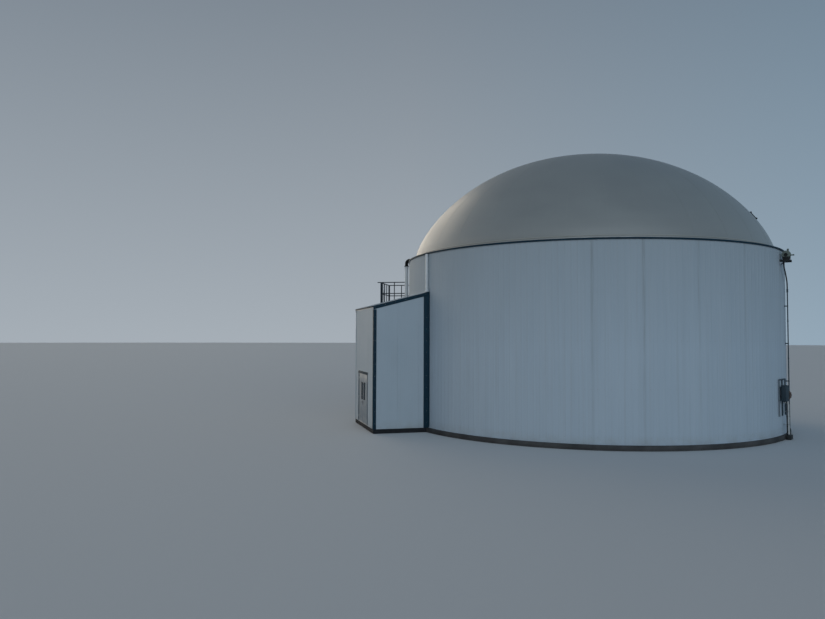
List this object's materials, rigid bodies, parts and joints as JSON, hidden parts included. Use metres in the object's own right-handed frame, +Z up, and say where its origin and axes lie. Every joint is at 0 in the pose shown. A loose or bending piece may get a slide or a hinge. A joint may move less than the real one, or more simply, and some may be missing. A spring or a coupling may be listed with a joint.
{
  "type": "biogas digester",
  "caption": "Round insulated digester tank under an inflated gas dome, with a lean-to service annex, double door, railed platform, ladder, blower and pipes.",
  "frame": {"origin": "on the tank's axis at ground level, in the foundation's underside", "axes": "+Z up; -X towards the annex and its double door, +X away from it; +Y away from the pictured side"},
  "size_m": [18.8973, 16.78, 12.1976],
  "materials": {
    "concrete": "cast, weathered",
    "cladding": "satin off-white, ribbed sheet",
    "dark_trim": "satin dark teal",
    "membrane": "matt warm grey coated fabric",
    "siding": "satin off-white, ribbed sheet",
    "roof_sheet": "satin white",
    "door_paint": "satin white-grey",
    "window_glass": "clear, dark behind",
    "galvanised_steel": "hot-dip galvanised",
    "grey_steel": "satin dark grey",
    "dark_steel": "painted, dirty",
    "black_plastic": "matt black",
    "white_plastic": "matt white"
  },
  "bodies": {
    "plant": {"foundation_slab": "concrete", "tank_wall_1": "concrete", "tank_wall_2": "concrete", "tank_wall_3": "concrete", "tank_wall_4": "concrete", "tank_wall_5": "concrete", "tank_wall_6": "concrete", "tank_wall_7": "concrete", "tank_wall_8": "concrete", "cladding_1": "cladding", "cladding_2": "cladding", "cladding_3": "cladding", "cladding_4": "cladding", "rim_flashing": "dark_trim", "dome_gore_1": "membrane", "dome_gore_2": "membrane", "dome_gore_3": "membrane", "dome_gore_4": "membrane", "dome_crown": "membrane", "dome_sight_port": "black_plastic", "annex_floor": "concrete", "annex_front_wall_right": "siding", "annex_front_wall_left": "siding", "annex_front_wall_over_door": "siding", "annex_side_wall_right": "siding", "annex_side_wall_left": "siding", "annex_roof": "roof_sheet", "annex_rake_trim_right": "dark_trim", "annex_rake_trim_left": "dark_trim", "annex_corner_trim_right": "dark_trim", "annex_corner_trim_left": "siding", "annex_junction_trim_right": "dark_trim", "annex_junction_trim_left": "dark_trim", "annex_eave_fascia": "dark_trim", "door_frame": "door_paint", "door_head_flashing": "dark_trim", "platform_deck": "galvanised_steel", "platform_railing_right": "grey_steel", "platform_railing_left": "grey_steel", "platform_railing_front": "grey_steel", "platform_ladder": "galvanised_steel", "gas_downpipe": "galvanised_steel", "gas_elbow": "black_plastic", "roof_riser_pipe": "galvanised_steel", "blower_shelf": "dark_steel", "blower": "dark_steel", "blower_hose": "black_plastic", "hose_conduit": "grey_steel", "condensate_pipe": "white_plastic", "condensate_box": "dark_steel", "cabinet_frame": "grey_steel", "control_cabinet": "grey_steel", "cabinet_conduit": "black_plastic"},
    "right_door": {"door_leaf_right": "door_paint", "door_window_right": "window_glass"},
    "left_door": {"door_leaf_left": "door_paint", "door_window_left": "window_glass", "door_handle": "grey_steel"}
  },
  "joints": [
    {"name": "right_door_hinge", "type": "hinge", "parent": "plant", "child": "right_door", "pos_m": [-10.458, -0.417, 1.25], "axis": [0, 0, 1], "range_deg": [0, 90]},
    {"name": "left_door_hinge", "type": "hinge", "parent": "plant", "child": "left_door", "pos_m": [-10.458, 1.457, 1.25], "axis": [0, 0, -1], "range_deg": [0, 90]}
  ]
}
